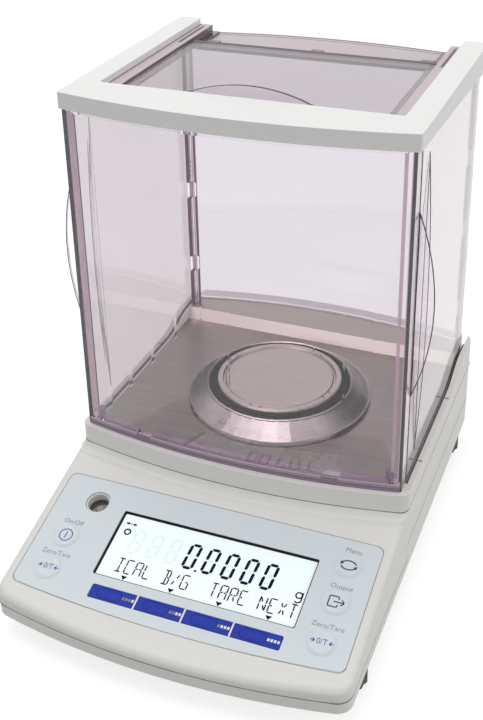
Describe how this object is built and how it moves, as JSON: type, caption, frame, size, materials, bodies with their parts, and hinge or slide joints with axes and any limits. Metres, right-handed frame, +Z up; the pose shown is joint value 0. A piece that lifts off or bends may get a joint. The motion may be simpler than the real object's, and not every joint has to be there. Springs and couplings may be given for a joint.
{
  "type": "laboratory balance",
  "caption": "Free-standing analytical balance: a glazed draught shield with sliding doors over a round pan, and a sloping key panel with a display.",
  "frame": {"origin": "centre of the footprint's box, on the table plane under the feet", "axes": "+Z up, -Y to the front with the key panel, +X to the user's right"},
  "size_m": [0.2194, 0.3076, 0.2927],
  "materials": {
    "off_white_plastic": "fine matt moulding",
    "tinted_clear_plastic": "polished, clear with a purple tint",
    "brushed_stainless": "brushed",
    "panel_film": "satin film",
    "key_film": "satin film",
    "blue_key_film": "satin film",
    "display_lens": "glossy clear window over a backlit liquid crystal display",
    "dark_plastic": "matt",
    "black_rubber": "matt",
    "cell_aluminium": "machined",
    "circuit_board": "solder mask",
    "level_vial_plastic": "clear",
    "screw_steel": "plated"
  },
  "bodies": {
    "base": {"base_tray": "off_white_plastic", "main_housing": "off_white_plastic", "upper_housing": "off_white_plastic", "key_panel": "panel_film", "display_window": "display_lens", "level_well": "off_white_plastic", "level_vial": "level_vial_plastic", "chamber_floor": "brushed_stainless", "weighing_cell": "cell_aluminium", "cell_chassis": "cell_aluminium", "main_board": "circuit_board", "display_board": "circuit_board", "display_module": "dark_plastic", "front_panel": "tinted_clear_plastic", "rear_panel": "tinted_clear_plastic", "rear_clip_left": "tinted_clear_plastic", "rear_clip_middle": "tinted_clear_plastic", "rear_clip_right": "tinted_clear_plastic", "top_frame": "off_white_plastic", "left_top_ledge": "tinted_clear_plastic", "right_top_ledge": "tinted_clear_plastic", "power_inlet": "dark_plastic", "data_connector": "dark_plastic", "base_screw_1": "screw_steel", "base_screw_2": "screw_steel", "base_screw_3": "screw_steel", "base_screw_4": "screw_steel"},
    "left_door": {"left_door": "tinted_clear_plastic"},
    "right_door": {"right_door": "tinted_clear_plastic"},
    "top_door": {"top_door": "tinted_clear_plastic"},
    "pan_carrier": {"pan_stem": "screw_steel"},
    "pan": {"weighing_pan": "brushed_stainless"},
    "ring": {"draught_ring": "brushed_stainless"},
    "key_on_off": {"key_on_off": "key_film"},
    "key_zero_tare_left": {"key_zero_tare_left": "key_film"},
    "key_menu": {"key_menu": "key_film"},
    "key_output": {"key_output": "key_film"},
    "key_zero_tare_right": {"key_zero_tare_right": "key_film"},
    "key_function_1": {"key_function_1": "blue_key_film"},
    "key_function_2": {"key_function_2": "blue_key_film"},
    "key_function_3": {"key_function_3": "blue_key_film"},
    "key_function_4": {"key_function_4": "blue_key_film"},
    "pad_front_left": {"foot_pad_front_left": "black_rubber"},
    "wheel_front_left": {"foot_front_left": "dark_plastic"},
    "pad_front_right": {"foot_pad_front_right": "black_rubber"},
    "wheel_front_right": {"foot_front_right": "dark_plastic"},
    "pad_rear_left": {"foot_pad_rear_left": "black_rubber"},
    "wheel_rear_left": {"foot_rear_left": "dark_plastic"},
    "pad_rear_right": {"foot_pad_rear_right": "black_rubber"},
    "wheel_rear_right": {"foot_rear_right": "dark_plastic"}
  },
  "joints": [
    {"name": "left_door_slide", "type": "slide", "parent": "base", "child": "left_door", "axis": [0, 1, 0], "range_m": [0, 0.125]},
    {"name": "right_door_slide", "type": "slide", "parent": "base", "child": "right_door", "axis": [0, 1, 0], "range_m": [0, 0.125]},
    {"name": "top_door_slide", "type": "slide", "parent": "base", "child": "top_door", "axis": [0, 1, 0], "range_m": [0, 0.1]},
    {"name": "pan_sink", "type": "slide", "parent": "base", "child": "pan_carrier", "axis": [0, 0, 1], "range_m": [-0.0002, 0], "stiffness_N_per_m": 8000, "springref_m": 0.0002},
    {"name": "pan_lift_off", "type": "slide", "parent": "pan_carrier", "child": "pan", "axis": [0, 0, 1], "range_m": [0, 0.04]},
    {"name": "ring_lift_off", "type": "slide", "parent": "base", "child": "ring", "axis": [0, 0, 1], "range_m": [0, 0.03]},
    {"name": "key_on_off_press", "type": "slide", "parent": "base", "child": "key_on_off", "axis": [0, 0.2607, -0.9654], "range_m": [0, 0.0004], "stiffness_N_per_m": 800, "springref_m": -0.0002},
    {"name": "key_zero_tare_left_press", "type": "slide", "parent": "base", "child": "key_zero_tare_left", "axis": [0, 0.2607, -0.9654], "range_m": [0, 0.0004], "stiffness_N_per_m": 800, "springref_m": -0.0002},
    {"name": "key_menu_press", "type": "slide", "parent": "base", "child": "key_menu", "axis": [0, 0.2607, -0.9654], "range_m": [0, 0.0004], "stiffness_N_per_m": 800, "springref_m": -0.0002},
    {"name": "key_output_press", "type": "slide", "parent": "base", "child": "key_output", "axis": [0, 0.2607, -0.9654], "range_m": [0, 0.0004], "stiffness_N_per_m": 800, "springref_m": -0.0002},
    {"name": "key_zero_tare_right_press", "type": "slide", "parent": "base", "child": "key_zero_tare_right", "axis": [0, 0.2607, -0.9654], "range_m": [0, 0.0004], "stiffness_N_per_m": 800, "springref_m": -0.0002},
    {"name": "key_function_1_press", "type": "slide", "parent": "base", "child": "key_function_1", "axis": [0, 0.2607, -0.9654], "range_m": [0, 0.0004], "stiffness_N_per_m": 800, "springref_m": -0.0002},
    {"name": "key_function_2_press", "type": "slide", "parent": "base", "child": "key_function_2", "axis": [0, 0.2607, -0.9654], "range_m": [0, 0.0004], "stiffness_N_per_m": 800, "springref_m": -0.0002},
    {"name": "key_function_3_press", "type": "slide", "parent": "base", "child": "key_function_3", "axis": [0, 0.2607, -0.9654], "range_m": [0, 0.0004], "stiffness_N_per_m": 800, "springref_m": -0.0002},
    {"name": "key_function_4_press", "type": "slide", "parent": "base", "child": "key_function_4", "axis": [0, 0.2607, -0.9654], "range_m": [0, 0.0004], "stiffness_N_per_m": 800, "springref_m": -0.0002},
    {"name": "foot_front_left_height", "type": "slide", "parent": "base", "child": "pad_front_left", "axis": [0, 0, 1], "range_m": [-0.006, 0]},
    {"name": "foot_front_left_turn", "type": "hinge", "parent": "pad_front_left", "child": "wheel_front_left", "pos_m": [-0.092, -0.10825, 0], "axis": [0, 0, 1], "range_deg": [-2180, 20]},
    {"name": "foot_front_right_height", "type": "slide", "parent": "base", "child": "pad_front_right", "axis": [0, 0, 1], "range_m": [-0.006, 0]},
    {"name": "foot_front_right_turn", "type": "hinge", "parent": "pad_front_right", "child": "wheel_front_right", "pos_m": [0.092, -0.10825, 0], "axis": [0, 0, 1], "range_deg": [-2180, 20]},
    {"name": "foot_rear_left_height", "type": "slide", "parent": "base", "child": "pad_rear_left", "axis": [0, 0, 1], "range_m": [-0.006, 0]},
    {"name": "foot_rear_left_turn", "type": "hinge", "parent": "pad_rear_left", "child": "wheel_rear_left", "pos_m": [-0.092, 0.11375, 0], "axis": [0, 0, 1], "range_deg": [-2180, 20]},
    {"name": "foot_rear_right_height", "type": "slide", "parent": "base", "child": "pad_rear_right", "axis": [0, 0, 1], "range_m": [-0.006, 0]},
    {"name": "foot_rear_right_turn", "type": "hinge", "parent": "pad_rear_right", "child": "wheel_rear_right", "pos_m": [0.092, 0.11375, 0], "axis": [0, 0, 1], "range_deg": [-2180, 20]}
  ],
  "couplings": [
    {"joint": "foot_front_left_turn", "follows": "foot_front_left_height", "rad_per_m": 6283.2},
    {"joint": "foot_front_right_turn", "follows": "foot_front_right_height", "rad_per_m": 6283.2},
    {"joint": "foot_rear_left_turn", "follows": "foot_rear_left_height", "rad_per_m": 6283.2},
    {"joint": "foot_rear_right_turn", "follows": "foot_rear_right_height", "rad_per_m": 6283.2}
  ]
}
